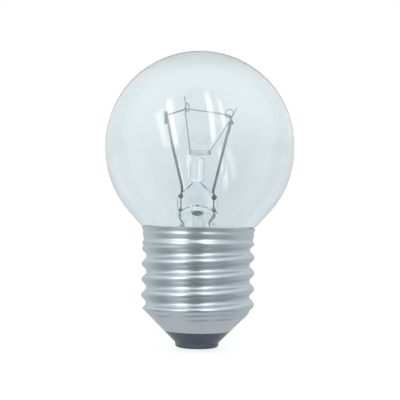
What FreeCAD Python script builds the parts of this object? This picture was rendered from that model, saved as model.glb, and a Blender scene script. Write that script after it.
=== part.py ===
"""Clear globe lamp with a 27 mm screw cap, in millimetres.

The lamp stands cap down. The origin is the lowest point of the centre contact, on the lamp's axis,
and +Z runs up through the cap to the top of the globe. The filament's open side faces +Y.
"""
import FreeCAD, Part
import math
import os

# Black end of the cap
SOLDER_HEIGHT = 0.55
SOLDER_D = 4.4
CONTACT_PLATE_D = 8.0
CONTACT_PLATE_T = 0.5
CONTACT_HOLE_D = 1.4
NUB_D = 10.2
NUB_HEIGHT = 1.1
NUB_CORNER = 0.7
BLACK_CONE_HEIGHT = 2.8
LEAD_HOLE_D = 2.0
INSULATOR_FLOOR = 3.4
INSULATOR_DEPTH = 2.9

# Screw cap
SHEET = 0.3
CONE_SLOPE = 1.0
THREAD_CREST_D = 26.4
THREAD_DEPTH = 1.1
THREAD_PITCH = 3.629
THREAD_START = 2.82
THREAD_FLOOR = 0.9
THREAD_CREST = 0.5
THREAD_SHOULDER = 1.5
THREAD_SHOULDER_DROP = 0.3
THREAD_ZONE = 20.1
THREAD_FADE = 1.3
COLLAR_STEP = 0.3
COLLAR_HEIGHT = 2.65
RIM_FLARE = 0.55
RIM_HEIGHT = 0.95

# Globe and neck
GLOBE_D = 44.3
GLOBE_BAND = 0.65
SHOULDER_ANGLE = 42.0
GLASS_WALL = 0.6
RIM_CLEARANCE = 0.08
NECK_GAP = 0.8
NECK_FILLET = 1.2
NECK_DEPTH = 8.1

# Stem
STEM_D = 8.4
STEM_WALL = 0.8
FLARE_HEIGHT = 6.2
PINCH_START = 8.5
PINCH_RISE = 4.5
PRESS_WIDTH = 9.6
PRESS_THICKNESS = 3.6
PRESS_CAVITY_WIDTH = 8.4
PRESS_CAVITY_THICKNESS = 1.6
PRESS_SIDE_HEIGHT = 3.3
PRESS_HEIGHT = 5.8
EXHAUST_D = 3.0
EXHAUST_BORE_D = 1.8
EXHAUST_SOCKET = 0.1
EXHAUST_LENGTH = 20.9
EXHAUST_TIP_LENGTH = 1.6
EXHAUST_TIP_D = 1.0
EXHAUST_HOLE_WIDTH = 2.0
EXHAUST_HOLE_HEIGHT = 1.1
EXHAUST_HOLE_DROP = 0.8
ARBOR_D = 3.5
ARBOR_LENGTH = 6.2
BUTTON_D = 5.4
BUTTON_HEIGHT = 2.0
BUTTON_ROUND = 0.95

# Leads and seal wires, with hooks as (distance from the axis, height over the foot of the press)
LEAD_D = 0.6
LEAD_SPACING = 7.6
LEAD_BEND = 6.0
LEAD_IN_PRESS = 3.0
LEAD_RISE = 5.3
LEAD_WAIST = (5.95, 13.8)
HOOK_TAIL = 2.2
HOOK_CLEARANCE = 0.02
LEFT_HOOK = (7.3, 22.0)
LEFT_HOOK_SIDE = -111.0
RIGHT_HOOK = (7.45, 19.85)
RIGHT_HOOK_SIDE = 84.0
SEAL_WIRE_D = 0.35
SEAL_WIRE_END = 0.4
OUTER_LEAD_D = 0.35
OUTER_LEAD_SPACING = 5.2
OUTER_LEAD_STRAIGHT = 0.7
OUTER_LEAD_DROP = 3.0
OUTER_LEAD_BEND = 1.6
CONTACT_LEAD_TURN = 13.2
CONTACT_LEAD_SLOPE = 4.6
RIM_LEAD_TURN = 16.9
RIM_LEAD_CLEARANCE = 0.06

# Filament and its supports, with places as (distance to the side, distance forward, height over the press)
FILAMENT_D = 0.36
FILAMENT_ROUND = 0.6
FILAMENT_END = 0.5
FILAMENT_EXIT = 0.7
EXIT_ROUND = 0.35
LOOP_CLEARANCE = 0.25
FILAMENT_SAG = (4.2, 6.0, 21.35)
SUPPORT_D = 0.22
LOOP_R = 0.97
LOOP_SHIFT = 0.3
SUPPORT_SET = 1.2
SUPPORT_DROP = 0.1
LEFT_LOOP = (2.8, 6.4, 22.45)
LEFT_LOOP_ANGLE = 108.0
LEFT_TAIL = 3.0
RIGHT_LOOP = (7.1, 3.0, 21.75)
RIGHT_LOOP_ANGLE = 90.0
RIGHT_TAIL = 2.2
LEFT_SUPPORT_SIDE = -153.0
RIGHT_SUPPORT_SIDE = -20.0

# Solder at the rim
RIM_SOLDER_ANGLE = 13.0
RIM_SOLDER_BULGE = 0.45
RIM_SOLDER_HEIGHT = 0.9
RIM_SOLDER_DEPTH = 0.4
RIM_LEAD_SET = 0.12

# Clearance between pieces that are pressed or cemented together
FIT = 0.02

# Heights and radii that follow from the sizes above
NUB_FACE_Z = SOLDER_HEIGHT
CONE_START_Z = NUB_FACE_Z + NUB_HEIGHT
CAP_EDGE_Z = CONE_START_Z + BLACK_CONE_HEIGHT
CAP_EDGE_R = NUB_D / 2 + BLACK_CONE_HEIGHT * CONE_SLOPE
THREAD_ROOT_D = THREAD_CREST_D - 2 * THREAD_DEPTH
COLLAR_D = THREAD_CREST_D - 2 * COLLAR_STEP
RIM_D = COLLAR_D + 2 * RIM_FLARE
NECK_D = THREAD_ROOT_D - 2 * SHEET - 2 * NECK_GAP
COLLAR_Z = CAP_EDGE_Z + THREAD_ZONE
RIM_Z = COLLAR_Z + COLLAR_HEIGHT
CAP_TOP_Z = RIM_Z + RIM_HEIGHT
NECK_END_Z = CAP_TOP_Z - NECK_DEPTH
PINCH_Z = NECK_END_Z + PINCH_START
PRESS_Z = PINCH_Z + PINCH_RISE
ARBOR_Z = PRESS_Z + PRESS_HEIGHT
BUTTON_Z = ARBOR_Z + ARBOR_LENGTH + BUTTON_HEIGHT / 2
CEMENT_TOP_Z = RIM_Z - RIM_SOLDER_DEPTH
LEAD_X = LEAD_SPACING / 2
OUTER_LEAD_X = OUTER_LEAD_SPACING / 2
SEAL_TOP_Z = PRESS_Z + LEAD_IN_PRESS
SEAL_END_Z = PRESS_Z + SEAL_WIRE_END
UP = FreeCAD.Vector(0, 0, 1)


def at(x, z):
    """A point in the XZ plane, where every turned outline is drawn."""
    return FreeCAD.Vector(x, 0, z)


def on_plan(angle):
    """A level unit vector at an angle in degrees from +X."""
    return FreeCAD.Vector(math.cos(math.radians(angle)), math.sin(math.radians(angle)), 0)


def on_mount(side, place):
    """A point of the filament mount from its distances, on the left for side -1 or the right for 1."""
    return FreeCAD.Vector(side * place[0], -place[1], PRESS_Z + place[2])


def line(start, end):
    return Part.LineSegment(start, end).toShape()


def arc(start, middle, end):
    return Part.Arc(start, middle, end).toShape()


def arc_about(centre, radius, first, last):
    """An arc in the XZ plane about a centre, between two angles in degrees from +X."""
    points = []
    for angle in (first, (first + last) / 2, last):
        turn = math.radians(angle)
        points.append(centre + at(radius * math.cos(turn), radius * math.sin(turn)))
    return arc(*points)


def outline(points):
    """Straight edges through the points in order."""
    return [line(start, end) for start, end in zip(points, points[1:])]


def turned(edges, angle=360):
    """The solid swept by a closed outline about the lamp's axis."""
    return Part.Face(Part.Wire(edges)).revolve(FreeCAD.Vector(), UP, angle)


def upright(diameter, bottom, top, x=0):
    """A cylinder between two heights."""
    return Part.makeCylinder(diameter / 2, top - bottom, at(x, bottom))


def bent_path(points, radii):
    """Straight runs joined at the inner points by tangent arcs of the given radii."""
    edges = []
    here = points[0]
    for before, corner, after, radius in zip(points, points[1:], points[2:], radii):
        back = (before - corner).normalize()
        ahead = (after - corner).normalize()
        half_turn = (math.pi - back.getAngle(ahead)) / 2
        reach = radius * math.tan(half_turn)
        middle = (back + ahead).normalize() * (radius / math.cos(half_turn) - radius)
        if (corner + back * reach - here).Length > FIT / 100:
            edges.append(line(here, corner + back * reach))
        here = corner + ahead * reach
        edges.append(arc(corner + back * reach, corner + middle, here))
    edges.append(line(here, points[-1]))
    return Part.Wire(edges)


def bent_wire(diameter, points, radii):
    """A round wire that follows a bent path."""
    path = bent_path(points, radii)
    section = Part.Circle(points[0], points[1] - points[0], diameter / 2).toShape()
    return path.makePipeShell([Part.Wire(section)], True, False)


def set_in(points, depth):
    """A line through points in the XZ plane, moved sideways by a depth, to its left."""
    sides = []
    for start, end in zip(points, points[1:]):
        sides.append(FreeCAD.Vector(start.z - end.z, 0, end.x - start.x).normalize())
    moved = []
    for point, before, after in zip(points, sides[:1] + sides, sides + sides[-1:]):
        moved.append(point + (before + after) * (depth / (1 + before.dot(after))))
    return moved


def cap_section(depth):
    """The cap's sheet without its thread, from lower edge to rim, at a depth below its outside."""
    root = THREAD_ROOT_D / 2
    collar = COLLAR_D / 2
    root_z = CAP_EDGE_Z + (root - CAP_EDGE_R) / CONE_SLOPE
    points = [at(CAP_EDGE_R, CAP_EDGE_Z), at(root, root_z), at(root, COLLAR_Z - THREAD_FADE)]
    points += [at(collar, COLLAR_Z), at(collar, RIM_Z), at(RIM_D / 2, CAP_TOP_Z)]
    return set_in(points, depth)


def thread_limit(depth):
    """The room that the thread may fill: it runs out on the cap's cone below and on the collar above."""
    crest = THREAD_CREST_D / 2
    fade = (crest - COLLAR_D / 2) / THREAD_FADE
    crest_z = CAP_EDGE_Z + (crest - CAP_EDGE_R) / CONE_SLOPE
    sunk = COLLAR_D / 2 - SHEET / 2
    points = [at(CAP_EDGE_R, CAP_EDGE_Z), at(crest, crest_z), at(crest, COLLAR_Z - THREAD_FADE)]
    points.append(at(sunk, COLLAR_Z + SHEET / 2 / fade))
    edge = set_in(points, depth)
    return turned(outline([at(0, edge[0].z)] + edge + [at(0, edge[-1].z), at(0, edge[0].z)]))


def thread_ridge(depth):
    """The right-hand thread at a depth below the outside, swept up a helix from inside the sheet."""
    root = THREAD_ROOT_D / 2
    crest = THREAD_CREST_D / 2
    shoulder = crest - THREAD_SHOULDER_DROP
    flank = ((THREAD_PITCH - THREAD_FLOOR) - THREAD_SHOULDER) / 2 / (shoulder - root)
    foot = root - SHEET * 3 / 4
    foot_half = (THREAD_PITCH - THREAD_FLOOR) / 2 + (root - foot) * flank
    upper = [at(crest, THREAD_CREST / 2), at(shoulder, THREAD_SHOULDER / 2), at(foot, foot_half)]
    lower = [at(point.x, -point.z) for point in reversed(upper)]
    corners = set_in(lower + upper, depth)
    section = Part.Wire(outline(corners + corners[:1]))
    helix = Part.makeLongHelix(THREAD_PITCH, COLLAR_Z - CAP_EDGE_Z + THREAD_PITCH, root)
    ridge = Part.Wire(helix).makePipeShell([section], True, True)
    ridge.translate(at(0, CAP_EDGE_Z))
    ridge.rotate(FreeCAD.Vector(), UP, -360 * THREAD_START / THREAD_PITCH)
    return ridge.common(thread_limit(depth))


def screw_shell():
    """A thin turned sheet with the thread rolled into it, raised outside and hollow inside."""
    inside = cap_section(SHEET)
    axis = [at(0, inside[-1].z), at(0, inside[0].z)]
    hollow = turned(outline(inside + axis + inside[:1]))
    blank = turned(outline(inside[:1] + cap_section(0) + inside[-1:] + axis + inside[:1]))
    return blank.fuse(thread_ridge(0)).cut(hollow.fuse(thread_ridge(SHEET)))


def globe_level():
    """Height of the centre of the globe's lower half, whose shoulder just clears the cap's rim."""
    tilt = math.radians(SHOULDER_ANGLE)
    edge = cap_section(SHEET)[-1]
    return edge.z + (GLOBE_D / 2 - (edge.x - RIM_CLEARANCE) * math.cos(tilt)) / math.sin(tilt)


def bulb_edges(inset):
    """The globe's outline from its top to the end of its neck, set in from the outside by a wall."""
    tilt = math.radians(SHOULDER_ANGLE)
    centre = at(0, globe_level())
    upper = centre + UP * GLOBE_BAND
    radius = GLOBE_D / 2 - inset
    neck = NECK_D / 2 - inset
    fillet = NECK_FILLET + inset
    drop = (radius + fillet - (neck + fillet) * math.cos(tilt)) / math.sin(tilt)
    hollow = centre + at(neck + fillet, -drop)
    crown = arc_about(upper, radius, 90, 0)
    band = line(upper + at(radius, 0), centre + at(radius, 0))
    side = arc_about(centre, radius, 0, -SHOULDER_ANGLE)
    throat = arc_about(hollow, fillet, 180 - SHOULDER_ANGLE, 180)
    shoulder = line(side.Vertexes[1].Point, throat.Vertexes[0].Point)
    return [crown, band, side, shoulder, throat, line(throat.Vertexes[1].Point, at(neck, NECK_END_Z))]


def glass_bulb():
    outside = bulb_edges(0)
    inside = bulb_edges(GLASS_WALL)
    foot = line(outside[-1].Vertexes[1].Point, inside[-1].Vertexes[1].Point)
    top = line(inside[0].Vertexes[0].Point, outside[0].Vertexes[0].Point)
    return turned(outside + [foot] + inside[::-1] + [top])


def bulb_envelope():
    """The globe without its hollow, to cut what lies against the glass."""
    edges = bulb_edges(0)
    foot = at(0, NECK_END_Z)
    closing = outline([edges[-1].Vertexes[1].Point, foot, edges[0].Vertexes[0].Point])
    return turned(edges + closing)


def oval(half_width, half_depth, z):
    """A flattened ring: two straight sides and two round ends."""
    flat = half_width - half_depth
    corner = FreeCAD.Vector(flat, half_depth, z)
    across = FreeCAD.Vector(-flat, half_depth, z)
    far = FreeCAD.Vector(-flat, -half_depth, z)
    near = FreeCAD.Vector(flat, -half_depth, z)
    left = arc(across, at(-half_width, z), far)
    right = arc(near, at(half_width, z), corner)
    return Part.Wire([line(corner, across), left, line(far, near), right])


def pinch(low_r, high_r, half_depth):
    """The stem's tube, spread a little and pressed flat from front and back as it rises."""
    body = Part.makeCone(low_r, high_r, PINCH_RISE, at(0, PINCH_Z))
    wide = low_r + FIT
    corners = [(-wide, PINCH_Z), (wide, PINCH_Z), (half_depth, PRESS_Z), (-half_depth, PRESS_Z)]
    corners.append(corners[0])
    side = Part.Face(Part.Wire(outline([FreeCAD.Vector(-high_r, y, z) for y, z in corners])))
    return body.common(side.extrude(FreeCAD.Vector(2 * high_r, 0, 0)))


def flare():
    """The stem's tube and the cone by which it spreads to the end of the neck."""
    neck = NECK_D / 2
    rim = neck - GLASS_WALL
    tube = STEM_D / 2
    flare_z = NECK_END_Z + FLARE_HEIGHT
    outside = [at(rim, NECK_END_Z), at(tube, flare_z), at(tube, PINCH_Z)]
    inside = set_in(outside, STEM_WALL)
    foot_z = NECK_END_Z - STEM_WALL
    foot = inside[1] + at((inside[1].z - foot_z) * (rim - tube) / FLARE_HEIGHT, foot_z - inside[1].z)
    lip = [foot, at(neck, foot_z), at(neck, NECK_END_Z)]
    return turned(outline(outside + inside[:0:-1] + lip + outside[:1]))


def press():
    """The flat top of the stem, sloped from the leads up to the arbor."""
    half = PRESS_WIDTH / 2
    side_z = PRESS_Z + PRESS_SIDE_HEIGHT
    top = ARBOR_D / 2
    corners = [at(-half, PRESS_Z), at(half, PRESS_Z), at(half, side_z), at(top, ARBOR_Z), at(-top, ARBOR_Z)]
    corners += [at(-half, side_z), at(-half, PRESS_Z)]
    house = Part.Face(Part.Wire(outline(corners)))
    house.translate(FreeCAD.Vector(0, -PRESS_THICKNESS / 2, 0))
    block = house.extrude(FreeCAD.Vector(0, PRESS_THICKNESS, 0))
    return block.common(upright(PRESS_WIDTH, PRESS_Z, ARBOR_Z))


def exhaust_hole():
    """The oblong hole by which the exhaust tube opens into the globe, on its front side."""
    half = EXHAUST_HOLE_HEIGHT / 2
    slot = Part.Face(oval(EXHAUST_HOLE_WIDTH / 2, half, 0)).extrude(UP * PRESS_WIDTH)
    slot.rotate(FreeCAD.Vector(), FreeCAD.Vector(1, 0, 0), 90)
    slot.translate(at(0, PRESS_Z - EXHAUST_HOLE_DROP))
    return slot


def stem_flare(sealed):
    """The stem's glass, with room for the wires and the tube that are sealed into it."""
    tube = STEM_D / 2
    outside = pinch(tube, PRESS_WIDTH / 2, PRESS_THICKNESS / 2)
    cavity = pinch(tube - STEM_WALL, PRESS_CAVITY_WIDTH / 2, PRESS_CAVITY_THICKNESS / 2)
    socket = upright(EXHAUST_D, PINCH_Z, PRESS_Z - EXHAUST_SOCKET)
    glass = flare().fuse([outside.cut(cavity), press()])
    return glass.cut([socket, exhaust_hole()] + sealed)


def exhaust_tube():
    top = PRESS_Z - EXHAUST_SOCKET
    bottom = top - EXHAUST_LENGTH
    shoulder = bottom + EXHAUST_TIP_LENGTH
    tip = EXHAUST_TIP_D / 2
    outer = EXHAUST_D / 2
    bore = EXHAUST_BORE_D / 2
    points = [at(tip, bottom + tip), at(outer, shoulder), at(outer, top), at(bore, top)]
    points += [at(bore, shoulder), at(0, shoulder - bore), at(0, bottom)]
    nib = arc_about(at(0, bottom + tip), tip, -90, 0)
    return turned([nib] + outline(points)).cut(exhaust_hole())


def arbor_rod(sealed):
    """The rod on the press and its button, a disc with a round edge."""
    half = BUTTON_HEIGHT / 2
    core = BUTTON_D / 2 - BUTTON_ROUND
    bottom = BUTTON_Z - half
    top = BUTTON_Z + half
    lower = arc_about(at(core, bottom + BUTTON_ROUND), BUTTON_ROUND, -90, 0)
    upper = arc_about(at(core, top - BUTTON_ROUND), BUTTON_ROUND, 0, 90)
    wall = line(lower.Vertexes[1].Point, upper.Vertexes[0].Point)
    closing = outline([at(core, top), at(0, top), at(0, bottom), at(core, bottom)])
    button = turned([lower, wall, upper] + closing)
    return upright(ARBOR_D, ARBOR_Z, BUTTON_Z).fuse(button).cut(sealed)


def hook_radius():
    """Half the space between a lead and its folded tail, which grip the filament."""
    return (LEAD_D + FILAMENT_D) / 2 + HOOK_CLEARANCE


def hook_top(side, hook):
    """Where a lead's shank ends and its fold begins, on the left with side -1 or the right with side 1."""
    return at(side * hook[0], PRESS_Z + hook[1])


def hook_points(top, side):
    """The corners of a lead's fold and the end of its tail."""
    fold = hook_radius()
    across = on_plan(side) * (2 * fold)
    rise = top + UP * fold
    return [rise, rise + across, top + across - UP * HOOK_TAIL]


def inner_lead(x, top, side, waist):
    """A stout lead from the press to its folded hook."""
    corners = [at(x, SEAL_TOP_Z), at(x, PRESS_Z + LEAD_RISE)] + waist
    fold = hook_radius()
    bends = [LEAD_BEND] * (1 + len(waist)) + [fold, fold]
    return bent_wire(LEAD_D, corners + hook_points(top, side), bends)


def seal_wire(x):
    return upright(SEAL_WIRE_D, SEAL_END_Z, SEAL_TOP_Z, x)


def outer_lead(x, inner_x, onward):
    """An outer lead from its seal wire down the stem and on by its own route."""
    start = [at(x, SEAL_END_Z), at(x, PRESS_Z - OUTER_LEAD_STRAIGHT), at(inner_x, PRESS_Z - OUTER_LEAD_DROP)]
    return bent_wire(OUTER_LEAD_D, start + onward, [OUTER_LEAD_BEND] * (1 + len(onward)))


def contact_lead():
    turn_z = CONTACT_LEAD_TURN
    onward = [at(-OUTER_LEAD_X, turn_z), at(0, turn_z - CONTACT_LEAD_SLOPE), at(0, NUB_FACE_Z)]
    return outer_lead(-LEAD_X, -OUTER_LEAD_X, onward)


def rim_lead():
    """The lead that leaves the stem, goes under the neck's seal and rises at the back beside the glass."""
    tilt = math.radians(SHOULDER_ANGLE)
    beside = (NECK_D / 2 + THREAD_ROOT_D / 2 - SHEET) / 2
    clear = GLOBE_D / 2 + OUTER_LEAD_D / 2 + RIM_LEAD_CLEARANCE
    level = globe_level()
    end_z = CEMENT_TOP_Z + RIM_LEAD_SET
    turn_z = level + (beside * math.cos(tilt) - clear) / math.sin(tilt)
    end_r = (clear - (level - end_z) * math.sin(tilt)) / math.cos(tilt)
    back = [(beside, RIM_LEAD_TURN), (beside, turn_z), (end_r, end_z)]
    onward = [at(OUTER_LEAD_X, RIM_LEAD_TURN)] + [FreeCAD.Vector(0, y, z) for y, z in back]
    return outer_lead(LEAD_X, OUTER_LEAD_X, onward)


def loop_axes(side, centre, turn):
    """Where a support leaves the button, its direction, and the side of it on which its loop lies."""
    start = on_plan(side) * (BUTTON_D / 2 - SUPPORT_SET) + UP * (BUTTON_Z - SUPPORT_DROP)
    along = (centre - start).normalize()
    level = along.cross(UP).normalize()
    over = level.cross(along)
    across = level * -math.cos(math.radians(turn)) + over * math.sin(math.radians(turn))
    return start, across


def support(side, centre, turn, tail):
    """A thin wire set in the button, with one full loop round the filament and a short tail."""
    start, across = loop_axes(side, centre, turn)
    touch = centre - across * LOOP_R
    along = (touch - start).normalize()
    across = (across - along * across.dot(along)).normalize()
    shift = along.cross(across) * LOOP_SHIFT
    ahead = along * LOOP_R
    over = across * (2 * LOOP_R)
    corners = [touch + ahead, touch + ahead + over, touch - ahead + over, touch - ahead]
    points = [start]
    for step, corner in enumerate(corners):
        points.append(corner + shift * (step / 3))
    points.append(touch + shift + along * (LOOP_R + tail))
    return bent_wire(SUPPORT_D, points, [LOOP_R] * len(corners))


def loop_rest(centre):
    """Where the filament lies in a loop, above the loop's lowest part."""
    return centre - UP * (LOOP_R - (SUPPORT_D + FILAMENT_D) / 2 - LOOP_CLEARANCE)


def hook_grip(top, side, turn):
    """The filament's end in a hook, across the middle of its fold, and where it leaves the hook."""
    middle = top + on_plan(side) * hook_radius()
    across = on_plan(side + turn)
    return [middle - across * FILAMENT_END, middle + across * FILAMENT_EXIT]


def filament():
    """The coil as one round wire, from the left hook through both loops to the right hook."""
    rests = [loop_rest(on_mount(-1, LEFT_LOOP)), loop_rest(on_mount(1, RIGHT_LOOP))]
    inner = [rests[0], on_mount(1, FILAMENT_SAG), rests[1]]
    left = hook_grip(hook_top(-1, LEFT_HOOK), LEFT_HOOK_SIDE, 90)
    right = hook_grip(hook_top(1, RIGHT_HOOK), RIGHT_HOOK_SIDE, -90)
    bends = [EXIT_ROUND] + [FILAMENT_ROUND] * len(inner) + [EXIT_ROUND]
    return bent_wire(FILAMENT_D, left + inner + right[::-1], bends)


def insulator():
    """Black glass that fills the cap's cone, ends in the nub and seats the contact plate."""
    outside = cap_section(0)
    inside = cap_section(SHEET + FIT)
    along = (outside[1] - outside[0]).normalize() * FIT
    step = outside[0] - along
    edge = inside[0] - along
    floor_z = NUB_FACE_Z + INSULATOR_FLOOR
    nub = NUB_D / 2
    plate = CONTACT_PLATE_D / 2 + FIT
    seat_z = NUB_FACE_Z + CONTACT_PLATE_T + FIT
    hole = LEAD_HOLE_D / 2
    corner = arc_about(at(nub - NUB_CORNER, NUB_FACE_Z + NUB_CORNER), NUB_CORNER, -90, 0)
    points = [at(nub, NUB_FACE_Z + NUB_CORNER), at(nub, CONE_START_Z), step, edge]
    points += [edge + at(INSULATOR_DEPTH * CONE_SLOPE, INSULATOR_DEPTH), at(nub, floor_z)]
    points += [at(hole, floor_z), at(hole, seat_z), at(plate, seat_z), at(plate, NUB_FACE_Z)]
    points.append(at(nub - NUB_CORNER, NUB_FACE_Z))
    return turned([corner] + outline(points))


def contact_plate():
    disc = upright(CONTACT_PLATE_D, NUB_FACE_Z, NUB_FACE_Z + CONTACT_PLATE_T)
    return disc.cut(upright(CONTACT_HOLE_D, 0, CONE_START_Z))


def contact_solder(lead):
    """A flat dome under the contact plate, with the plug that fills the plate's hole."""
    half = SOLDER_D / 2
    sphere_r = (half ** 2 + SOLDER_HEIGHT ** 2) / (2 * SOLDER_HEIGHT)
    reach = math.degrees(math.asin(half / sphere_r))
    dome = arc_about(at(0, sphere_r), sphere_r, -90, reach - 90)
    plug = CONTACT_HOLE_D / 2
    plug_z = NUB_FACE_Z + CONTACT_PLATE_T
    points = [at(half, NUB_FACE_Z), at(plug, NUB_FACE_Z), at(plug, plug_z), at(0, plug_z), at(0, 0)]
    return turned([dome] + outline(points)).cut(lead)


def cement_ring(envelope, lead):
    """Cement between the neck and the cap's collar, with the rim lead through it."""
    bend = cap_section(SHEET + FIT)[3]
    return upright(2 * bend.x, bend.z, CEMENT_TOP_Z).cut([envelope, lead])


def rim_solder(envelope, lead):
    """A short bead at the back that fills the gap between the glass and the rim and laps over the rim."""
    inside = cap_section(SHEET + FIT)[-2:]
    edge = cap_section(0)[-1] + at(0, FIT)
    lip = inside[1] + at(0, FIT)
    top = at(NECK_D / 2, lip.z + RIM_SOLDER_HEIGHT)
    crest = (edge + top) / 2 + at(RIM_SOLDER_BULGE, RIM_SOLDER_BULGE)
    points = [top, at(NECK_D / 2, CEMENT_TOP_Z), at(inside[0].x, CEMENT_TOP_Z)] + inside + [lip, edge]
    bead = turned(outline(points) + [arc(edge, crest, top)], RIM_SOLDER_ANGLE)
    bead.rotate(FreeCAD.Vector(), UP, 90 - RIM_SOLDER_ANGLE / 2)
    return bead.cut([envelope, lead])


def build():
    """Every piece of the lamp by its node's name."""
    envelope = bulb_envelope()
    waist = [hook_top(-1, LEAD_WAIST)]
    wires = {
        "inner_lead_left": inner_lead(-LEAD_X, hook_top(-1, LEFT_HOOK), LEFT_HOOK_SIDE, waist),
        "inner_lead_right": inner_lead(LEAD_X, hook_top(1, RIGHT_HOOK), RIGHT_HOOK_SIDE, []),
        "seal_wire_left": seal_wire(-LEAD_X),
        "seal_wire_right": seal_wire(LEAD_X),
        "contact_lead": contact_lead(),
        "rim_lead": rim_lead(),
    }
    supports = {
        "support_left": support(LEFT_SUPPORT_SIDE, on_mount(-1, LEFT_LOOP), LEFT_LOOP_ANGLE, LEFT_TAIL),
        "support_right": support(RIGHT_SUPPORT_SIDE, on_mount(1, RIGHT_LOOP), RIGHT_LOOP_ANGLE, RIGHT_TAIL),
    }
    glass = {
        "glass_bulb": glass_bulb(),
        "stem_flare": stem_flare(list(wires.values())),
        "exhaust_tube": exhaust_tube(),
        "arbor_rod": arbor_rod(list(supports.values())),
    }
    cap = {
        "screw_shell": screw_shell(),
        "insulator": insulator(),
        "contact_plate": contact_plate(),
        "contact_solder": contact_solder(wires["contact_lead"]),
        "cement_ring": cement_ring(envelope, wires["rim_lead"]),
        "rim_solder": rim_solder(envelope, wires["rim_lead"]),
    }
    return {**glass, **wires, **supports, "filament": filament(), **cap}


os.makedirs("parts", exist_ok=True)
for name, shape in build().items():
    shape.exportStep("parts/" + name + ".step")
    print(name, len(shape.Solids), shape.isValid(), round(shape.Volume, 3))
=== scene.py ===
"""Clear globe lamp on a screw cap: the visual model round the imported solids, in metres."""
import math

import bmesh
import bpy
from bpy.props import FloatProperty, FloatVectorProperty, PointerProperty
from mathutils import Matrix, Vector


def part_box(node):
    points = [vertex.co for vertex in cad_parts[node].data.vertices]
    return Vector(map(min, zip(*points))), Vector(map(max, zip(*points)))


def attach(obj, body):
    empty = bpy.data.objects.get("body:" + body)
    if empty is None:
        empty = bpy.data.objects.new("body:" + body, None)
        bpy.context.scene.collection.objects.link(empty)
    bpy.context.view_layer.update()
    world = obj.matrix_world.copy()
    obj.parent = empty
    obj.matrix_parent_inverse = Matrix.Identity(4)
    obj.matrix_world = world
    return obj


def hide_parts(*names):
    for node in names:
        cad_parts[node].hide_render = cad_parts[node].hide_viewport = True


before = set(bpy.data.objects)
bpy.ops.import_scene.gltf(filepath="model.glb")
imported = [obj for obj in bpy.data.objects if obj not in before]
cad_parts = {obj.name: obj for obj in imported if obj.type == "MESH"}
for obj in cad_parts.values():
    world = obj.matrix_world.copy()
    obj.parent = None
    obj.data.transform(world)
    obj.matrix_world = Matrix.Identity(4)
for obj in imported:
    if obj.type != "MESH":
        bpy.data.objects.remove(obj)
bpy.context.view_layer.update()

bl_info = {
    "name": "Globe lamp",
    "version": (1, 0, 0),
    "blender": (4, 5, 0),
    "location": "View3D > Sidebar > Lamp",
    "description": "Builds a clear globe lamp with its screw cap and filament mount",
    "category": "Object",
}

# Every outline below is in millimetres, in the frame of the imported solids
MM = 0.001
UP = Vector((0, 0, 1))
GLASS_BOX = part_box("glass_bulb")
GLOBE_D = (GLASS_BOX[1].x - GLASS_BOX[0].x) / MM

# Globe and neck
GLOBE_BAND = 0.65
SHOULDER_ANGLE = 42.0
NECK_R = 11.0
NECK_FILLET = 1.2
NECK_END_Z = 20.05

# Black end of the cap
NUB_FACE_Z = 0.55
NUB_R = 5.1
NUB_CORNER = 0.7
CONE_START_Z = 1.65
WAIST_R = 0.35
WAIST_DROP = 0.15
EDGE_INSET = (0.24, 0.21)
CAP_EDGE_Z = 4.45
CAP_EDGE_R = 7.9
BLACK_FLOOR_Z = 3.95
BLACK_DEPTH = 2.9
LEAD_HOLE_R = 1.0
PLATE_R = 4.0
PLATE_T = 0.5
PLATE_EDGE = 0.15
PLATE_HOLE_R = 0.7
CLEARANCE = 0.02
SOLDER_R = 2.2

# Screw cap
THREAD_START = 2.6
THREAD_EASE = 0.6
THREAD_FADE = 1.5
CONE_BLEND = 0.35
RUN_OUT = 0.3
RUN_OUT_HALF = 0.42
RUN_OUT_Z = 7.3
RUN_OUT_SPAN = (-135, 50, 20, 90)
GROOVE = 0.22
GROOVE_HALF = 0.35
GROOVE_DROP = 0.75
GROOVE_SPAN = (-170, 40, -10, 60)
COLLAR_R = 12.93
COLLAR_Z = 24.75
BEAD = 0.1
BEAD_Z = 26.8
BEAD_SPACING = 2.2
LOWER_BEAD = 0.9
LOWER_BEAD_DROP = 0.5
LIP_Z = 27.2
RIM_TOP_Z = 28.1
RIM_FLARE = 0.5
RIM_CURVE = 1.2
RIM_TILT = 0.1

# Stem
STEM_R = 4.2
STEM_WALL = 0.5
FLARE_Z = 26.25
PINCH_Z = 28.55
PRESS_Z = 33.05
PRESS_HALF = 1.8
CIRCLE_POWER = 2.0
SLAB_EXTRA = 1.2
PRESS_SHOULDERS = ((34.0, 1.0), (35.0, 1.0), (35.5, 0.985), (35.9, 0.93), (36.25, 0.84), (36.5, 0.76))
PRESS_SHIFT = -0.4
CAVITY_HALF_W = 4.2
CAVITY_HALF_D = 0.8
ROOF_Z = 33.7
ROOF_WEDGE = 0.9
ROOF_ARCH = 2.0
ROOF_EDGE = 0.05
BLOW_HOLE = (1.3, 0.55)
BLOW_HOLE_Z = 32.25
BLOW_HOLE_Y = (-3.0, -1.0)
BLOW_HOLE_POWER = 0.7
ARBOR_Z = 38.85
ARBOR_SHIFT = -0.62
ARBOR_FOOT_R = 1.1
ARBOR_FOOT_ROUND = 0.65
BUTTON_Z = 46.05
BUTTON_R = 2.7
BUTTON_HALF = 1.0
BUTTON_SWELL = 0.85
BUTTON_EDGE = 0.2
BUTTON_EDGE_Z = 45.7
BUTTON_DROP = 1.05
BUTTON_LEAN = 0.9
EXHAUST_R = 1.5
EXHAUST_BORE_R = 0.9
EXHAUST_TOP_Z = 29.8
EXHAUST_SLANT = (31.0, 32.75)
EXHAUST_SLANT_Y = (-1.5, 0.75)
EXHAUST_BORE_Z = 26.2
EXHAUST_TIP_Z = 12.05
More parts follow.
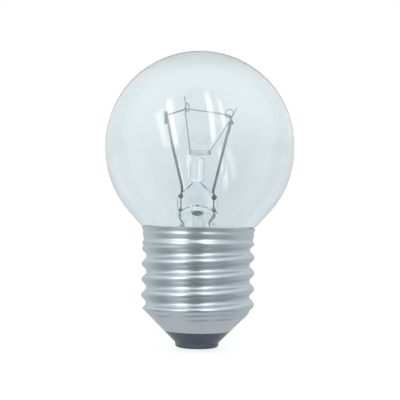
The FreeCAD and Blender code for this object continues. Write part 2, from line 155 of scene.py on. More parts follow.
EXHAUST_TIP_R = 0.5
EXHAUST_TIP_LENGTH = 1.6
EXHAUST_TIP_SIDE = (0.9, 1.0)

# Leads
LEFT_LEAD_X = -4.05
RIGHT_LEAD_X = 3.28
LEFT_SEAL_Z = 35.1
RIGHT_SEAL_Z = 34.85
SEAL_END_Z = 32.1
SEAL_BEND_Z = 31.5
OUTER_BEND_Z = 30.0
LEAD_BEND = 6.0
KNOT_LIFT = 0.45
LEAD_KNOT = (0.16, 0.42)
SEAL_KNOT = (0.28, 0.4)
LEFT_BEND_Z = 37.85
RIGHT_BEND_Z = 37.05
# Painted shade on the inner leads: darkest from the first height down, lightest from the second up, with the
# amount of painted shade at each
LEAD_SHADE_LOW_Z = 37.0
LEAD_LIT_Z = 52.0
LEAD_SHADE_AMOUNTS = (2.0, 0.2)
LEFT_WAIST = Vector((-6.3, 0, 46.85))
LEFT_HOOK = Vector((-8.0, 0, 54.85))
RIGHT_HOOK = Vector((7.1, 0, 52.9))
LEFT_FOLD = -97.0
RIGHT_FOLD = 84.0
HOOK_CLEARANCE = 0.02
HOOK_TAIL = 2.3
LEFT_OUTER_X = -3.45
RIGHT_OUTER_X = 2.6
OUTER_LEAD_BEND = 1.6
OUTER_END_BEND = 0.8
CONTACT_ROUTE = [Vector((LEFT_OUTER_X, 0, 14.2)), Vector((0, 0, 8.6)), Vector((0, 0, NUB_FACE_Z))]
RIM_ROUTE = [Vector((RIGHT_OUTER_X, 0, 16.9)), Vector((0, 11.4, 16.9)), Vector((0, 11.4, 25.99)),
             Vector((0, 12.21, 26.9))]
WIRE_END = 0.7
LEAD_STEP = 0.2
OUTER_STEP = 0.25

# Filament supports
LEFT_LOOP = Vector((-3.15, -6.4, 55.5))
RIGHT_LOOP = Vector((6.75, -3.0, 54.8))
LOOP_R = 0.97
LOOP_SHIFT = 0.3
LOOP_FIT = 0.999
SUPPORT_STEP = 0.12
LEFT_REST = 0.2
RIGHT_REST = 0.4
SUPPORT_INSET = 0.35
SUPPORT_SINK = 0.05
FILAMENT_SAG = Vector((3.85, -6.0, 54.5))
GRIP_IN = 0.5
GRIP_OUT = 0.7
GRIP_BEND = 0.35
FILAMENT_BEND = 0.6
FILAMENT_STEP = 0.02

# Each support's name, angle on the button, loop, turn of the loop, tail and side that it is laid to
SUPPORTS = (
    ("left", -165.0, LEFT_LOOP, 76.0, 2.5, -1),
    ("right", -12.0, RIGHT_LOOP, 90.0, 1.1, 1),
)

# Facets round each piece and the floor
GLOBE_SEGMENTS = 192
STEM_SEGMENTS = 96
BLOW_HOLE_SEGMENTS = 48
TUBE_SEGMENTS = 64
CAP_SEGMENTS = 160
CAP_ROWS = 150
BLACK_SEGMENTS = 128
PLATE_SEGMENTS = 96
LEAD_SIDES = 14
OUTER_SIDES = 12
SUPPORT_SIDES = 8
COIL_SIDES = 5
FLOOR_SEGMENTS = 96

# Finishes: each metal's tarnish, roughness, its spread and the relief of its rolled lines
METALS = {
    "cap_metal": (0.7, 0.33, 0.12, 0.3),
    "lead_wire": (0.6, 0.38, 0.1, 0.2),
    "copper_wire": (0.7, 0.4, 0.1, 0.2),
    "support_wire": (0.5, 0.35, 0.1, 0.1),
    "filament_wire": (0.5, 0.4, 0.1, 0.0),
    "contact_brass": (0.5, 0.3, 0.1, 0.2),
    "solder": (0.6, 0.34, 0.05, 0.0),
}

# Shares of a metal's colour that tarnish leaves, and on the inner leads the painted shade, heights of relief
# in metres and strengths of ripples
LEAD_SHADE_SHARE = 0.38
COPPER_DULL = 0.6
BRASS_DULL = 0.6
GREY_DULL = 0.7
LINE_HEIGHT = 0.02 * MM
RIPPLE_HEIGHT = 0.1 * MM
GRIT_HEIGHT = 0.05 * MM
GLOBE_RIPPLE = 0.4
STEM_RIPPLE = 1.0

# Studio: what gloss sees of the walls and, as a painted reflection, of the floor, at turns in degrees from
# the front to the right
WALLS = (
    (-180, 1.0), (-150, 0.85), (-100, 0.76), (-76, 0.78), (-60, 1.0), (-25, 1.25), (-18, 0.03),
    (8, 0.03), (15, 1.1), (34, 0.95), (48, 0.75), (100, 0.72), (150, 0.85), (180, 1.0),
)
FLOOR_SECTORS = (
    (-180, 0.36), (-130, 0.42), (-100, 0.34), (-74, 0.12), (-60, 0.15), (-46, 0.34), (-27, 0.44), (-20, 0.0),
    (10, 0.0), (20, 0.2), (26, 0.24), (44, 0.1), (60, 0.14), (76, 0.3), (100, 0.36), (180, 0.36),
)
COOL_TURN = 100
DIM_PATCH = (0.32, 0.34, 0.35, 1)
ROOM_LIGHT = (0.72, 0.74, 0.76, 1)
LOW_SHADE = (0.8, 0.81, 0.815, 1)
WHITE = (1, 1, 1, 1)
# Painted reflection: the floor's glow near the lamp, which only glossy rays see
FLOOR_NEAR_REFLECTION = (0.43, 0.43, 0.43, 1)
FLOOR_CAMERA = 0.8
FLOOR_GLASS = 0.6
BOUNCES = 24

# Studio sizes in metres, with each lamp's ends, width and radiance
FLOOR_R = 3.0
FLOOR_REACH = (0.0115, 0.0185)
STRIP_LAMPS = (
    ("window_left", (-0.1975, -0.419, 0.004), (-0.2303, -0.1716, 0.4157), 0.066, 2.9),
    ("window_left_far", (-0.279, -0.371, 0.004), (-0.3165, -0.19, 0.328), 0.075, 1.7),
    ("window_right", (0.1244, -0.4552, 0.0533), (0.0253, -0.1868, 0.4749), 0.056, 2.9),
    ("window_right_far", (0.2154, -0.4044, 0.1567), (0.1254, -0.2401, 0.4292), 0.05, 2.1),
)
LAMP_AIM = Vector((0, 0, 47.0 * MM))
CLIP_START = 0.005

# Camera, in millimetres and degrees
EYE = Vector((0.22, -200.0, 26.0))
AIM = Vector((0.22, 0.0, 34.82))
LENS = 76.7
ROLL = 0.9


def measure(name, description, default):
    """A stored length with a default in millimetres."""
    return FloatProperty(name=name, description=description, default=default * MM, unit="LENGTH",
                         subtype="DISTANCE")


class GlassSizes(bpy.types.PropertyGroup):
    """Sizes of the glass pieces."""
    globe_d: measure("Globe diameter", "Outside diameter of the globe", GLOBE_D)
    wall: measure("Glass wall", "Thickness of the blown glass", 0.6)
    press_width: measure("Press width", "Width of the flat top of the stem", 9.6)
    arbor_d: measure("Rod diameter", "Diameter of the glass rod on the press", 3.5)


class CapSizes(bpy.types.PropertyGroup):
    """Sizes of the screw cap."""
    crest_d: measure("Thread crest diameter", "Diameter over the crests of the thread", 26.4)
    thread_depth: measure("Thread depth", "Height of the crests over the roots", 1.1)
    pitch: measure("Thread pitch", "Rise of the thread in one turn", 3.629)
    sheet: measure("Sheet", "Thickness of the cap's metal", 0.3)


class WireSizes(bpy.types.PropertyGroup):
    """Sizes of the wires and of the filament's coil."""
    lead_d: measure("Inner lead", "Diameter of the stout inner leads", 0.6)
    outer_d: measure("Outer lead", "Diameter of the seal wires and outer leads", 0.3)
    support_d: measure("Support", "Diameter of the support wires", 0.22)
    coil_d: measure("Coil diameter", "Outside diameter of the filament's coil", 0.36)
    coil_wire_d: measure("Coil wire", "Diameter of the wire that is coiled", 0.055)
    coil_pitch: measure("Coil pitch", "Rise of the coil in one turn", 0.17)


def colour(name, description, default):
    """A stored colour."""
    return FloatVectorProperty(name=name, description=description, default=default, subtype="COLOR",
                               size=3, min=0.0, max=1.0)


class LampColours(bpy.types.PropertyGroup):
    """Colours of the finishes."""
    glass: colour("Globe glass", "Tint of the blown glass", (0.885, 0.931, 0.943))
    stem: colour("Stem glass", "Tint of the pressed glass", (0.95, 0.97, 0.975))
    metal: colour("Cap metal", "Colour of the rolled sheet", (0.715, 0.768, 0.785))
    dull: colour("Dull metal", "Colour of the sheet where it has dulled", (0.53, 0.587, 0.609))
    black: colour("Black glass", "Colour of the cap's glass end", (0.098, 0.137, 0.198))
    lead: colour("Inner leads", "Colour of the stout leads", (0.42, 0.445, 0.47))
    copper: colour("Outer leads", "Colour of the seal wires and outer leads", (0.44, 0.42, 0.41))
    support: colour("Supports", "Colour of the thin supports", (0.5, 0.52, 0.54))
    coil: colour("Filament", "Colour of the coiled wire", (0.34, 0.36, 0.38))
    brass: colour("Contact plate", "Colour of the stamped plate", (0.72, 0.6, 0.34))
    solder: colour("Solder", "Colour of the solder beads", (0.66, 0.68, 0.7))
    cement: colour("Cement", "Colour of the baked cement", (0.55, 0.47, 0.35))
    floor: colour("Floor", "Colour of the stage floor", (0.29, 0.31, 0.323))


def mm(stored):
    """A stored length in millimetres."""
    return stored / MM


# Points and paths

def arc_points(centre, radius, first, last, steps):
    """Points (distance from the axis, height) of an arc between two angles in degrees."""
    points = []
    for step in range(steps + 1):
        turn = math.radians(first + (last - first) * step / steps)
        points.append((centre[0] + radius * math.cos(turn), centre[1] + radius * math.sin(turn)))
    return points


def line_points(start, end, steps):
    """Points on a straight line, without its first point."""
    points = []
    for step in range(1, steps + 1):
        share = step / steps
        points.append(tuple(a + (b - a) * share for a, b in zip(start, end)))
    return points


def on_plan(angle):
    """A level unit vector at an angle in degrees from +X."""
    return Vector((math.cos(math.radians(angle)), math.sin(math.radians(angle)), 0))


def rounded(points, radii, step):
    """A path through points with tangent arcs at its corners, sampled at even steps."""
    path = [points[0]]
    for before, corner, after, radius in zip(points, points[1:], points[2:], radii):
        back = (before - corner).normalized()
        ahead = (after - corner).normalized()
        half_turn = (math.pi - back.angle(ahead)) / 2
        reach = radius * math.tan(half_turn)
        centre = corner + (back + ahead).normalized() * (radius / math.cos(half_turn))
        run_to(path, corner + back * reach, step)
        start = corner + back * reach - centre
        axis = start.cross(corner + ahead * reach - centre).normalized()
        count = max(4, math.ceil(radius * 2 * half_turn / step))
        for part in range(1, count + 1):
            path.append(centre + Matrix.Rotation(2 * half_turn * part / count, 3, axis) @ start)
    run_to(path, points[-1], step)
    return path


def run_to(path, end, step):
    """Adds a straight run to a path."""
    start = path[-1]
    count = max(1, math.ceil((end - start).length / step))
    for part in range(1, count + 1):
        path.append(start.lerp(end, part / count))


def frames_along(path):
    """Two cross directions at each point of a path, carried along it without twist."""
    first = (path[1] - path[0]).normalized()
    side = first.orthogonal().normalized()
    frames = []
    for index, point in enumerate(path):
        before = path[max(index - 1, 0)]
        after = path[min(index + 1, len(path) - 1)]
        ahead = (after - before).normalized()
        side = (side - ahead * side.dot(ahead)).normalized()
        frames.append((side, ahead.cross(side)))
    return frames


# Meshes

def strip(low, high):
    """Faces between two rings, either of which may be a single point."""
    faces = []
    count = max(len(low), len(high))
    for index in range(count):
        after = (index + 1) % count
        if len(low) == 1:
            faces.append((low[0], high[after], high[index]))
        elif len(high) == 1:
            faces.append((low[index], low[after], high[0]))
        else:
            faces.append((low[index], low[after], high[after], high[index]))
    return faces


def skin(rings, closed):
    """Vertices and faces of rings of points joined in order, and round to the first if closed."""
    points = []
    numbered = []
    for ring in rings:
        numbered.append(list(range(len(points), len(points) + len(ring))))
        points += ring
    faces = []
    pairs = list(zip(numbered, numbered[1:]))
    if closed:
        pairs.append((numbered[-1], numbered[0]))
    for low, high in pairs:
        if len(low) > 1 or len(high) > 1:
            faces += strip(low, high)
    return points, faces


def turned_ring(radius, z, segments):
    """A level circle about the axis, or one point on it."""
    if radius < 1e-6:
        return [Vector((0, 0, z))]
    return [on_plan(360 * index / segments) * radius + UP * z for index in range(segments)]


def turned(outline, segments):
    """A solid turned from a section outline."""
    rings = [turned_ring(radius, z, segments) for radius, z in outline]
    return skin(rings, len(rings[0]) > 1)


def swept(path, radius, sides, knots=()):
    """A round wire along a path, thicker at its knots, with rounded ends."""
    rings = [[path[0]]]
    frames = frames_along(path)
    last = len(path) - 1
    for index, (point, (side, over)) in enumerate(zip(path, frames)):
        size = radius
        for place, extra, length in knots:
            size += extra * math.exp(-((point - place).length / length) ** 2)
        ring = []
        for corner in range(sides):
            turn = 2 * math.pi * corner / sides
            ring.append(point + (side * math.cos(turn) + over * math.sin(turn)) * size)
        if index in (0, last):
            rings.append([point + (vertex - point) * WIRE_END for vertex in ring])
        else:
            rings.append(ring)
    rings.append([path[-1]])
    return skin(rings, False)


def join(*bodies):
    """Several bodies as one."""
    points = []
    faces = []
    for more_points, more_faces in bodies:
        start = len(points)
        points += more_points
        faces += [tuple(index + start for index in face) for face in more_faces]
    return points, faces


def mesh_of(name, body):
    """A mesh in metres from a body, with its faces turned outwards."""
    mesh = bpy.data.meshes.new(name)
    mesh.from_pydata([point * MM for point in body[0]], [], body[1])
    work = bmesh.new()
    work.from_mesh(mesh)
    bmesh.ops.recalc_face_normals(work, faces=work.faces)
    work.to_mesh(mesh)
    work.free()
    return mesh


def smooth(mesh, sharp):
    """Shades a mesh smooth, but for edges over an angle in degrees."""
    mesh.polygons.foreach_set("use_smooth", [True] * len(mesh.polygons))
    mesh.set_sharp_from_angle(angle=math.radians(sharp))


def placed(name, data):
    """A new object in the scene."""
    thing = bpy.data.objects.new(name, data)
    bpy.context.scene.collection.objects.link(thing)
    return thing


def piece(name, body, material, nodes, sharp=40):
    """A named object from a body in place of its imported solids."""
    mesh = mesh_of(name, body)
    smooth(mesh, sharp)
    mesh.materials.append(material)
    thing = placed(name, mesh)
    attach(thing, "root")
    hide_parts(*nodes)
    return thing


# Nodes and shared groups

def group(name, inputs, outputs):
    """An empty shader group with its sockets, its input and its output node."""
    tree = bpy.data.node_groups.new(name, "ShaderNodeTree")
    for label, kind, default in inputs:
        socket = tree.interface.new_socket(label, in_out="INPUT", socket_type=kind)
        socket.default_value = default
    for label, kind in outputs:
        tree.interface.new_socket(label, in_out="OUTPUT", socket_type=kind)
    return tree, tree.nodes.new("NodeGroupInput"), tree.nodes.new("NodeGroupOutput")


def add(tree, kind, **values):
    """A node with some of its settings and sockets filled in."""
    node = tree.nodes.new("ShaderNode" + kind)
    for label, value in values.items():
        socket = node.inputs.get(label.replace("_", " "))
        if socket is None:
            setattr(node, label, value)
        else:
            socket.default_value = value
    return node


def math_node(tree, operation, first, second=None):
    """A Math node fed by sockets or numbers."""
    node = add(tree, "Math", operation=operation)
    for socket, source in zip(node.inputs, (first, second)):
        if isinstance(source, (int, float)):
            socket.default_value = source
        elif source is not None:
            tree.links.new(source, socket)
    return node.outputs[0]


def blend_colours(tree, kind, share, first, second):
    """A Mix node for two colours."""
    node = add(tree, "Mix", data_type="RGBA", blend_type=kind)
    for socket, source in ((node.inputs[0], share), (node.inputs[6], first), (node.inputs[7], second)):
        if isinstance(source, (int, float, tuple)):
            socket.default_value = source
        else:
            tree.links.new(source, socket)
    return node.outputs[2]


def axes_of(tree, kind):
    """The separate X, Y and Z of a kind of texture coordinates."""
    place = add(tree, "TexCoord")
    axes = add(tree, "SeparateXYZ")
    tree.links.new(place.outputs[kind], axes.inputs[0])
    return axes.outputs


def stretched_noise(tree, stretch, scale, detail):
    """Noise on the piece's own coordinates, drawn out along some axes."""
    place = add(tree, "TexCoord")
    mapping = add(tree, "Mapping")
    mapping.inputs["Scale"].default_value = stretch
    noise = add(tree, "TexNoise", Scale=scale, Detail=detail, Roughness=0.55)
    tree.links.new(place.outputs["Object"], mapping.inputs["Vector"])
    tree.links.new(mapping.outputs["Vector"], noise.inputs["Vector"])
    return noise.outputs["Fac"]


def rolled_lines_group():
    """Fine level lines that rolling and drawing leave on metal."""
    inputs = [("Roughness", "NodeSocketFloat", 0.25), ("Spread", "NodeSocketFloat", 0.1)]
    outputs = [("Roughness", "NodeSocketFloat"), ("Height", "NodeSocketFloat")]
    tree, given, out = group("rolled_lines", inputs, outputs)
    lines = stretched_noise(tree, (60.0, 60.0, 2600.0), scale=1.0, detail=3.0)
    centred = math_node(tree, "SUBTRACT", lines, 0.5)
    spread = math_node(tree, "MULTIPLY", centred, given.outputs["Spread"])
    rough = math_node(tree, "ADD", spread, given.outputs["Roughness"])
    tree.links.new(rough, out.inputs["Roughness"])
    tree.links.new(lines, out.inputs["Height"])
    return tree


def tarnish_group():
    """Clean metal that dulls in soft patches."""
    inputs = [("Clean", "NodeSocketColor", (0.8, 0.8, 0.8, 1)),
              ("Dull", "NodeSocketColor", (0.5, 0.5, 0.5, 1)),
              ("Amount", "NodeSocketFloat", 0.5)]
    tree, given, out = group("tarnish", inputs, [("Colour", "NodeSocketColor")])
    patches = stretched_noise(tree, (1.0, 1.0, 1.0), scale=260.0, detail=4.0)
    share = math_node(tree, "MULTIPLY", patches, given.outputs["Amount"])
    shown = blend_colours(tree, "MIX", share, given.outputs["Clean"], given.outputs["Dull"])
    tree.links.new(shown, out.inputs["Colour"])
    return tree


def melt_ripple_group():
    """Slow waves of a surface that set from a melt."""
    inputs = [("Height", "NodeSocketFloat", 1.0)]
    tree, given, out = group("melt_ripple", inputs, [("Height", "NodeSocketFloat")])
    waves = stretched_noise(tree, (1.0, 1.0, 0.6), scale=90.0, detail=1.0)
    height = math_node(tree, "MULTIPLY", waves, given.outputs["Height"])
    tree.links.new(height, out.inputs["Height"])
    return tree


def place_group(tree, name, maker):
    """A shared group placed in a material, made the first time that it is used."""
    node = tree.nodes.new("ShaderNodeGroup")
    node.node_tree = bpy.data.node_groups.get(name) or maker()
    return node


# Materials

def finish(name, colour_value):
    """A material with a Principled shader of one colour."""
    material = bpy.data.materials.new(name)
    material.use_nodes = True
    tree = material.node_tree
    shader = tree.nodes["Principled BSDF"]
    shader.inputs["Base Color"].default_value = (*colour_value, 1)
    return material, tree, shader


def darker(tint, share):
    """A share of a colour."""
    return [share * part for part in tint]


def mix_to_surface(tree, share, first, second):
    """Leads a mix of two shaders to the material's surface."""
    mix = add(tree, "MixShader")
    for socket, source in zip(mix.inputs, (share, first, second)):
        tree.links.new(source, socket)
    tree.links.new(mix.outputs["Shader"], tree.nodes["Material Output"].inputs["Surface"])


def bump(tree, shader, height, strength, distance):
    """A bump that a height feeds into a shader's normal."""
    node = add(tree, "Bump", Strength=strength, Distance=distance)
    tree.links.new(height, node.inputs["Height"])
    tree.links.new(node.outputs["Normal"], shader.inputs["Normal"])


def metal(name, clean, dull):
    """Bare metal with rolled lines and a little tarnish."""
    amount, roughness, spread, relief = METALS[name]
    material, tree, shader = finish(name, clean)
    shader.inputs["Metallic"].default_value = 1.0
    patches = place_group(tree, "tarnish", tarnish_group)
    patches.inputs["Clean"].default_value = (*clean, 1)
    patches.inputs["Dull"].default_value = (*dull, 1)
    patches.inputs["Amount"].default_value = amount
    lines = place_group(tree, "rolled_lines", rolled_lines_group)
    lines.inputs["Roughness"].default_value = roughness
    lines.inputs["Spread"].default_value = spread
    tree.links.new(patches.outputs["Colour"], shader.inputs["Base Color"])
    tree.links.new(lines.outputs["Roughness"], shader.inputs["Roughness"])
    bump(tree, shader, lines.outputs["Height"], relief, LINE_HEIGHT)
    return material


def shade_downwards(material, low, high):
    """Paints a wire's metal darker towards its lower end and lighter towards its upper end, in noisy
    patches: painted shade and light.
    """
    tree = material.node_tree
    fade = add(tree, "MapRange")
    for socket, value in zip(fade.inputs[1:5], (low, high, *LEAD_SHADE_AMOUNTS)):
        socket.default_value = value
    patches = [node for node in tree.nodes if node.type == "GROUP" and node.node_tree.name == "tarnish"][0]
    tree.links.new(axes_of(tree, "Object")["Z"], fade.inputs[0])
    tree.links.new(fade.outputs[0], patches.inputs["Amount"])


def clear_glass(name, tint, ripple):
    """Clear glass that lets the lamps' light straight through to what is behind it."""
    material, tree, shader = finish(name, tint)
    shader.inputs["Transmission Weight"].default_value = 1.0
    shader.inputs["Roughness"].default_value = 0.0
    shader.inputs["IOR"].default_value = 1.5
    waves = place_group(tree, "melt_ripple", melt_ripple_group)
    waves.inputs["Height"].default_value = ripple
    bump(tree, shader, waves.outputs["Height"], strength=0.3, distance=RIPPLE_HEIGHT)
    through = add(tree, "BsdfTransparent", Color=(*tint, 1))
    shadow = add(tree, "LightPath").outputs["Is Shadow Ray"]
    mix_to_surface(tree, shadow, shader.outputs["BSDF"], through.outputs["BSDF"])
    return material


def black_glass(name, tint):
    """Black pressed glass with a gloss surface."""
    material, tree, shader = finish(name, tint)
    shader.inputs["Roughness"].default_value = 0.22
    shader.inputs["Coat Weight"].default_value = 0.3
    waves = place_group(tree, "melt_ripple", melt_ripple_group)
    waves.inputs["Height"].default_value = 1.0
    bump(tree, shader, waves.outputs["Height"], strength=0.2, distance=RIPPLE_HEIGHT)
    return material


def baked_cement(name, tint):
    """Matt baked cement with fine grit."""
    material, tree, shader = finish(name, tint)
    shader.inputs["Roughness"].default_value = 0.85
    grit = stretched_noise(tree, (1.0, 1.0, 1.0), scale=2500.0, detail=3.0)
    bump(tree, shader, grit, strength=0.5, distance=GRIT_HEIGHT)
    return material


# Shapes of the pieces

def globe_outline(globe_r, inset):
    """The globe's section from its top to the end of its neck, set in by a wall."""
    tilt = math.radians(SHOULDER_ANGLE)
    level = mm(GLASS_BOX[1].z) - globe_r - GLOBE_BAND
    radius = globe_r - inset
    neck = NECK_R - inset
    fillet = NECK_FILLET + inset
    drop = (radius + fillet - (neck + fillet) * math.cos(tilt)) / math.sin(tilt)
    crown = arc_points((0, level + GLOBE_BAND), radius, 90, 0, 64)
    crown[0] = (0, level + GLOBE_BAND + radius)
    side = arc_points((0, level), radius, 0, -SHOULDER_ANGLE, 30)
    throat = arc_points((neck + fillet, level - drop), fillet, 180 - SHOULDER_ANGLE, 180, 10)
    shoulder = line_points(side[-1], throat[0], 4)
    return crown + side + shoulder + throat[1:] + line_points(throat[-1], (neck, NECK_END_Z), 4)


def squared_circle(segments, power):
    """Pairs round a circle, at power 1, or a squarer ring, at a lower power."""
    pairs = []
    for index in range(segments):
        turn = 2 * math.pi * index / segments
        pair = [math.copysign(abs(part) ** power, part) for part in (math.cos(turn), math.sin(turn))]
        pairs.append(pair)
    return pairs


def flat_ring(half_width, half_depth, power, z, shift, segments, arch=0.0):
    """A ring between a circle, at power 2, and a rounded slab, at a higher one; an arch droops its sides."""
    ring = []
    for across, deep in squared_circle(segments, 2 / power):
        ring.append(Vector((shift + half_width * across, half_depth * deep, z - arch * across ** 2)))
    return ring


def ease(share):
    """A smooth step from 0 to 1."""
    share = min(max(share, 0.0), 1.0)
    return share * share * (3 - 2 * share)


def turn_fade(turn, start, rise, end, fall):
    """A smooth rise from one turn in degrees and fall to another."""
    return ease((turn - start) / rise) * ease((end - turn) / fall)


def stem_shift(z):
    """How far the stem has wandered from the axis at a height."""
    return PRESS_SHIFT * ease((z - FLARE_Z) / (PRESS_Z - FLARE_Z))


def hollow_rings(segments):
    """The stem's inside, from the wedge under its pinch down to the round tube."""
    rings = []
    for step in range(9):
        share = step / 8
        depth = ROOF_EDGE + (CAVITY_HALF_D - ROOF_EDGE) * share
        z = ROOF_Z - ROOF_WEDGE * share ** 2
        rings.append(flat_ring(CAVITY_HALF_W, depth, CIRCLE_POWER, z, stem_shift(z), segments, ROOF_ARCH))
    top = ROOF_Z - ROOF_WEDGE
    bore = STEM_R - STEM_WALL
    for step in range(1, 13):
        share = ease(step / 12)
        z = top + (PINCH_Z - top) * step / 12
        width = CAVITY_HALF_W + (bore - CAVITY_HALF_W) * share
        depth = CAVITY_HALF_D + (bore - CAVITY_HALF_D) * share
        arch = ROOF_ARCH * (1 - step / 12)
        rings.append(flat_ring(width, depth, CIRCLE_POWER, z, stem_shift(z), segments, arch))
    return rings


def flare_rings(inset, lip_r, steps, segments):
    """One skin of the trumpet between the stem's lip and its tube, from the tube down."""
    rings = []
    spread = lip_r - STEM_R
    for step in steps:
        turn = math.pi / 2 * step / 12
        z = FLARE_Z - inset - (FLARE_Z - NECK_END_Z) * math.sin(turn)
        rings.append(turned_ring(STEM_R - inset + spread * (1 - math.cos(turn)), z, segments))
    return rings


def press_rings(press_half, segments):
    """The stem's outside, from its round tube up the pinched press to the foot of the rod."""
    slab = CIRCLE_POWER + SLAB_EXTRA
    rings = []
    for step in range(17):
        share = ease(step / 16)
        z = PINCH_Z + (PRESS_Z - PINCH_Z) * step / 16
        width = STEM_R + (press_half - STEM_R) * share
        depth = STEM_R + (PRESS_HALF - STEM_R) * share
        rings.append(flat_ring(width, depth, CIRCLE_POWER + SLAB_EXTRA * share, z, stem_shift(z), segments))
    for z, share in PRESS_SHOULDERS:
        rings.append(flat_ring(press_half * share, PRESS_HALF, slab, z, PRESS_SHIFT, segments))
    foot_z, foot = PRESS_SHOULDERS[-1]
    for step in range(1, 9):
        share = step / 8
        z = foot_z + (ARBOR_Z - foot_z) * share
        width = press_half * foot + (ARBOR_FOOT_R - press_half * foot) * share
        depth = PRESS_HALF + (ARBOR_FOOT_R - PRESS_HALF) * share
        shift = PRESS_SHIFT + (ARBOR_SHIFT - PRESS_SHIFT) * share
        rings.append(flat_ring(width, depth, slab - SLAB_EXTRA * share, z, shift, segments))
    return rings


def stem_body(press_half, lip_r, segments):
    """The stem's skin: its hollow down to the lip, and its outside back up to the foot of the rod."""
    rings = hollow_rings(segments) + flare_rings(STEM_WALL, lip_r, range(13), segments)
    rings.append(turned_ring(NECK_R, NECK_END_Z - STEM_WALL, segments))
    rings.append(turned_ring(NECK_R, NECK_END_Z, segments))
    rings += flare_rings(0.0, lip_r, range(12, -1, -1), segments)
    rings += press_rings(press_half, segments)
    rings.append([Vector((ARBOR_SHIFT, 0, ARBOR_Z))])
    points, faces = skin(rings, False)
    half = segments // 2
    for index in range(half):
        before = (segments - index) % segments
        faces.append((index, before, segments - index - 1, index + 1))
    return points, [face for face in faces if len(set(face)) > 2]


def blow_hole_body():
    """The oblong hole that the front of the stem is blown through to the exhaust tube."""
    rings = []
    for deep in BLOW_HOLE_Y:
        ring = []
        for across, high in squared_circle(BLOW_HOLE_SEGMENTS, BLOW_HOLE_POWER):
            x = PRESS_SHIFT + BLOW_HOLE[0] * across
            ring.append(Vector((x, deep, BLOW_HOLE_Z + BLOW_HOLE[1] * high)))
        rings.append(ring)
    first, last = [[Vector((PRESS_SHIFT, deep, BLOW_HOLE_Z))] for deep in BLOW_HOLE_Y]
    return skin([first] + rings + [last], False)


def carve(thing, cutter, sharp):
    """Cuts a body out of a piece's mesh."""
    tool = placed("cutter", mesh_of("cutter", cutter))
    cut = thing.modifiers.new("carve", "BOOLEAN")
    cut.operation = "DIFFERENCE"
    cut.solver = "EXACT"
    cut.object = tool
    carved = bpy.data.meshes.new_from_object(thing.evaluated_get(bpy.context.evaluated_depsgraph_get()))
    thing.modifiers.clear()
    thing.data = carved
    carved.name = thing.name
    bpy.data.objects.remove(tool)
    smooth(carved, sharp)


def exhaust_body(segments):
    """The exhaust tube, drawn shut at its lower end and melted shut with a slanted face at its upper end."""
    tip = arc_points((0, EXHAUST_TIP_Z + EXHAUST_TIP_R), EXHAUST_TIP_R, -90, 0, 8)
    tip[0] = (0, EXHAUST_TIP_Z)
    neck_z = EXHAUST_TIP_Z + EXHAUST_TIP_LENGTH
    bore = arc_points((0, EXHAUST_BORE_Z - EXHAUST_BORE_R), EXHAUST_BORE_R, 90, 0, 8)
    bore[0] = (0, EXHAUST_BORE_Z)
    bore += [(EXHAUST_BORE_R, neck_z), (0, neck_z - EXHAUST_BORE_R)]
    inside = turned(bore, segments)
    side = (EXHAUST_TIP_SIDE[0], EXHAUST_TIP_Z + EXHAUST_TIP_SIDE[1])
    outline = tip + [side, (EXHAUST_R, neck_z), (EXHAUST_R, EXHAUST_TOP_Z)]
    rings = [turned_ring(radius, z, segments) for radius, z in outline]
    top = []
    front, back = EXHAUST_SLANT_Y
    for index in range(segments):
        way = on_plan(360 * index / segments)
        y = way.y * (back if way.y > 0 else -front)
        share = (y - front) / (back - front)
        z = EXHAUST_SLANT[0] + (EXHAUST_SLANT[1] - EXHAUST_SLANT[0]) * share
        top.append(Vector((stem_shift(z) + EXHAUST_R * way.x, y, z)))
    middle = Vector((0, 0, 0))
    for point in top:
        middle += point / segments
    outside = skin(rings + [top, [middle]], False)
    return join(outside, inside)


def arbor_outline(arbor_r):
    """The rod's section with its button, which swells from the rod to a thin edge under a dome."""
    swell = arc_points((arbor_r + BUTTON_SWELL, BUTTON_EDGE_Z - BUTTON_DROP), BUTTON_SWELL, 180, 100, 10)
    edge = arc_points((BUTTON_R - BUTTON_EDGE, BUTTON_EDGE_Z), BUTTON_EDGE, -90, 60, 8)
    rise = BUTTON_Z + BUTTON_HALF - edge[-1][1]
    dome = []
    for step in range(1, 13):
        turn = math.pi / 2 * step / 12
        dome.append((edge[-1][0] * math.cos(turn), edge[-1][1] + rise * math.sin(turn)))
    dome[-1] = (0, BUTTON_Z + BUTTON_HALF)
    heel = ARBOR_FOOT_ROUND
    foot = arc_points((arbor_r - heel, ARBOR_Z + heel), heel, -90, 0, 8)
    return [(0, ARBOR_Z)] + foot + line_points(foot[-1], swell[0], 6) + swell[1:] + edge + dome


def arbor_body(arbor_r, segments):
    """The rod, which stands a little to one side under its button."""
    points, faces = turned(arbor_outline(arbor_r), segments)
    under = BUTTON_Z - BUTTON_HALF
    moved = []
    for point in points:
        back = ease((point.z - under + BUTTON_LEAN) / BUTTON_LEAN)
        moved.append(point + Vector((ARBOR_SHIFT * (1 - back), 0, 0)))
    return moved, faces


def hook_radius(wires):
    """Half the space between a lead and its folded tail."""
    return mm(wires.lead_d + wires.coil_d) / 2 + HOOK_CLEARANCE


def lead_body(wires, foot, bends, top, fold_angle, tail):
    """A stout lead from its weld knot at the press to its folded hook, with the tail's direction."""
    fold = hook_radius(wires)
    across = on_plan(fold_angle) * (2 * fold)
    rise = top + UP * fold
    points = [foot] + bends
    points += [rise, rise + across, top + across - tail * HOOK_TAIL]
    path = rounded(points, [LEAD_BEND] * len(bends) + [fold, fold], LEAD_STEP)
    return swept(path, mm(wires.lead_d) / 2, LEAD_SIDES, [(foot + UP * KNOT_LIFT, *LEAD_KNOT)])


def outer_route(x, outer_x, onward):
    """The points of an outer lead from its seal wire down inside the stem and on."""
    start = [Vector((x, 0, SEAL_END_Z)), Vector((x, 0, SEAL_BEND_Z)), Vector((outer_x, 0, OUTER_BEND_Z))]
    return start + onward


